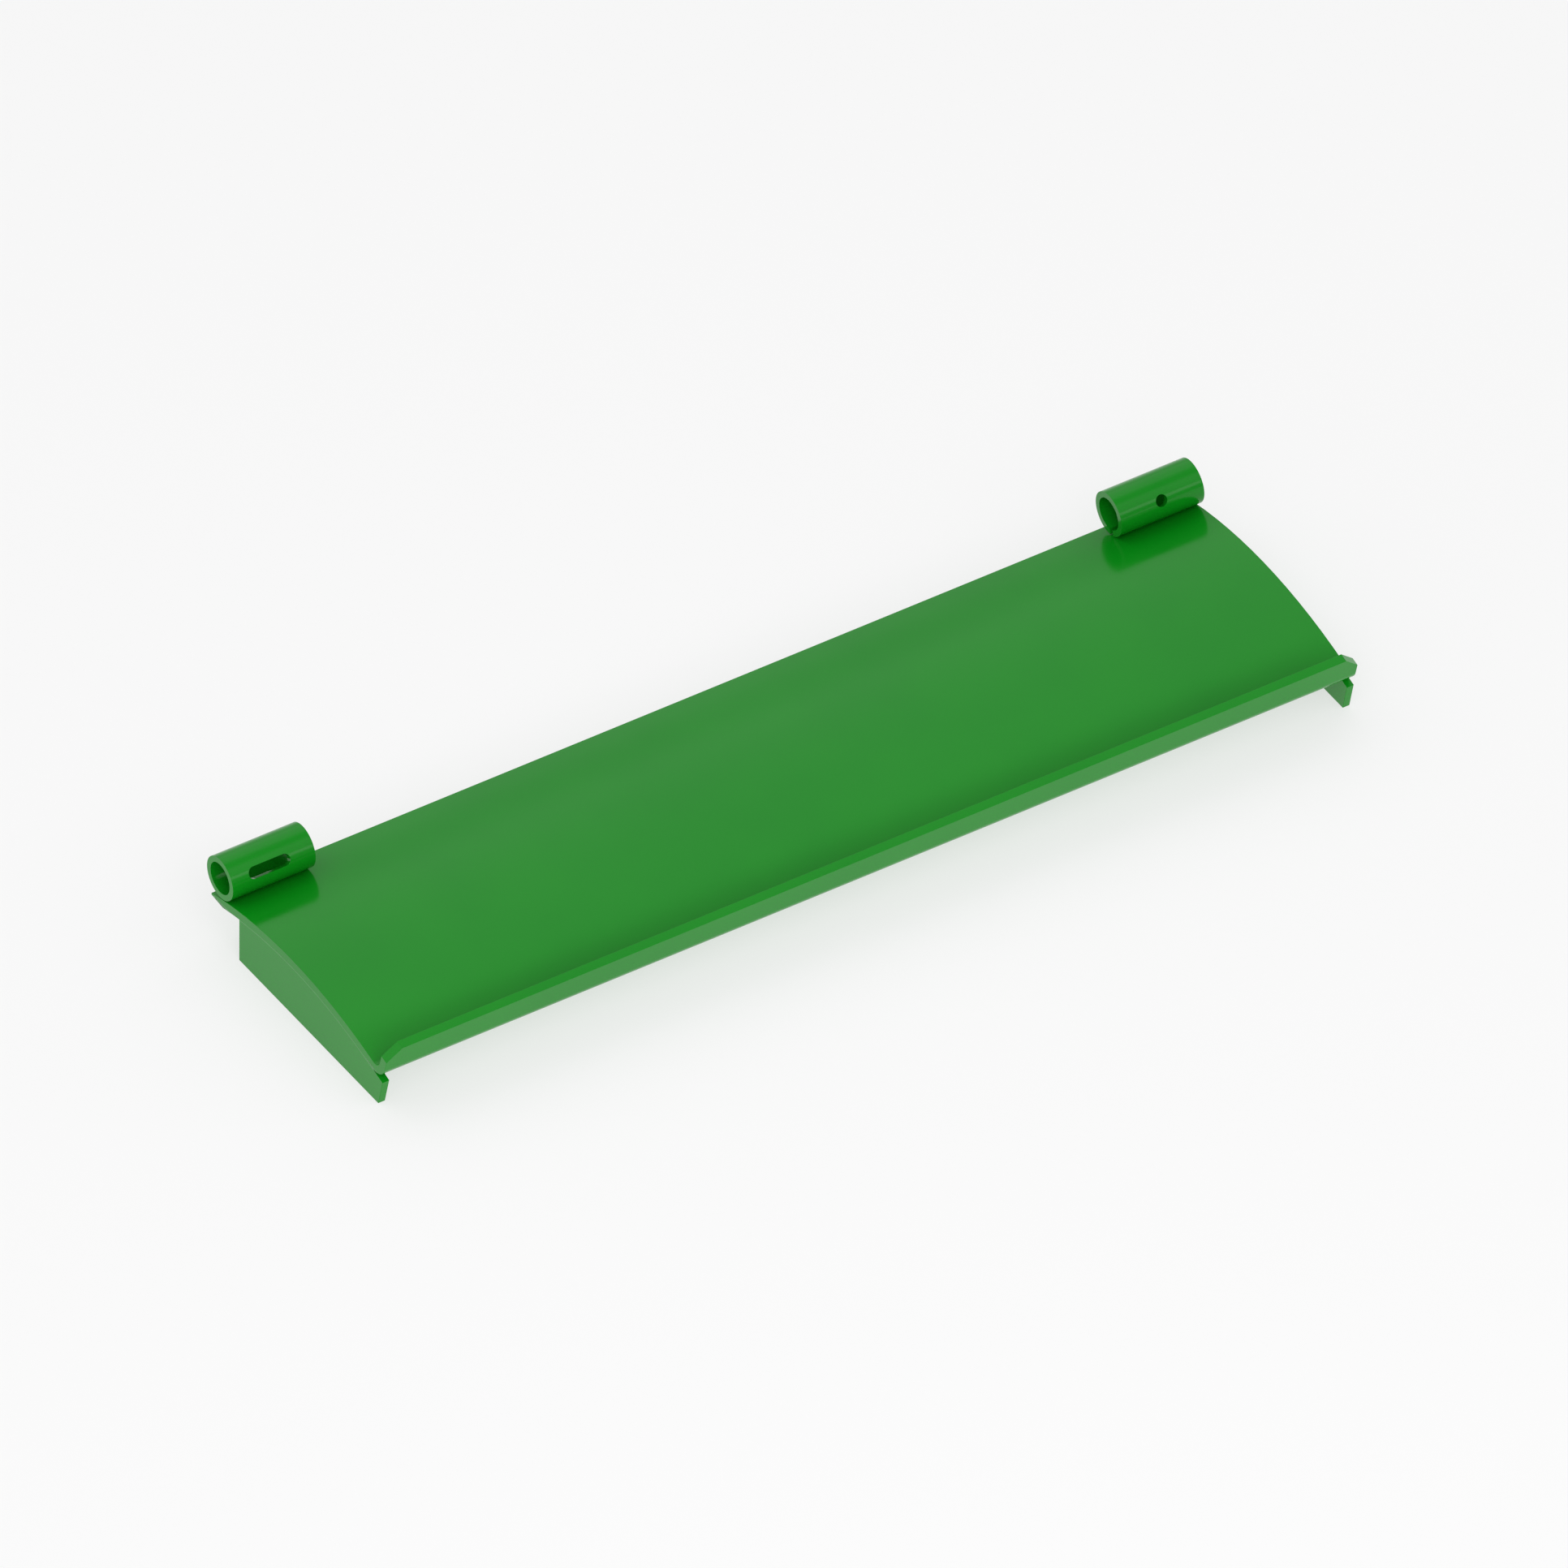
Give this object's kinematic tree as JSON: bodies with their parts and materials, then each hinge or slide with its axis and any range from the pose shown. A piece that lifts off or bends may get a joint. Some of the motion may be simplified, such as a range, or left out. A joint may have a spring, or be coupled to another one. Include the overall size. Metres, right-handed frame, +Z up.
{
  "type": "hinged chute flap",
  "caption": "Long arched steel chute flap with an upturned front lip, end ribs and hinge sleeves on its rear edge; it swings on a rod to guide or stop goods.",
  "frame": {"origin": "centre of the bounding box in plan, on the surface that the two ribs stand on", "axes": "+X along the flap to the cross-holed sleeve, +Y to the hinge side, +Z up, away from the feet of the ribs"},
  "size_m": [0.705, 0.209, 0.065],
  "materials": {
    "green_paint": "gloss, light orange peel"
  },
  "bodies": {
    "root": {"slide_plate": "green_paint", "left_rib": "green_paint", "right_rib": "green_paint", "left_sleeve": "green_paint", "right_sleeve": "green_paint", "left_sleeve_weld": "green_paint", "right_sleeve_weld": "green_paint", "left_rib_weld_1": "green_paint", "left_rib_weld_2": "green_paint", "left_rib_weld_3": "green_paint", "right_rib_weld_1": "green_paint", "right_rib_weld_2": "green_paint", "right_rib_weld_3": "green_paint"}
  },
  "joints": []
}
